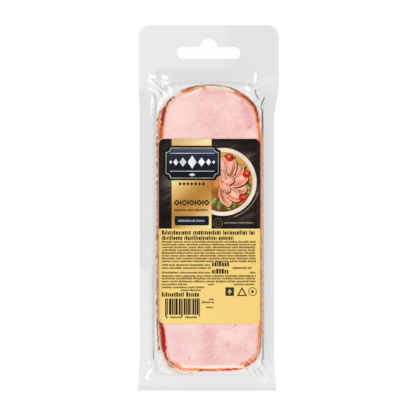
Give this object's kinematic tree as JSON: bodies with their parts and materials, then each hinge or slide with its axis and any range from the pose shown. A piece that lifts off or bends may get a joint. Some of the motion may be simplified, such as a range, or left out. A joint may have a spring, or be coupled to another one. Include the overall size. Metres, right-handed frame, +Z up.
{
  "type": "vacuum pack of smoked ham",
  "caption": "Flat piece of smoked ham sealed between clear films, lying label up: flanged edge, header with a hang hole, and a paper sticker over the middle.",
  "frame": {"origin": "under the middle of the pack, on the surface it lies on", "axes": "+X across the pack to the right of the label, +Y along it towards the hang hole, +Z up out of the label"},
  "size_m": [0.099, 0.256, 0.0205],
  "materials": {
    "ham_in_film": "pale pink meat seen through clear glossy film",
    "film": "clear glossy film",
    "ham": "moist pale pink meat with an amber smoked edge",
    "label_paper": "satin yellow coated paper",
    "print_dark": "satin dark print",
    "print_gold": "satin gold print",
    "print_colour": "satin colour print"
  },
  "bodies": {
    "root": {"film_pack": "ham_in_film", "label": "label_paper"}
  },
  "joints": []
}
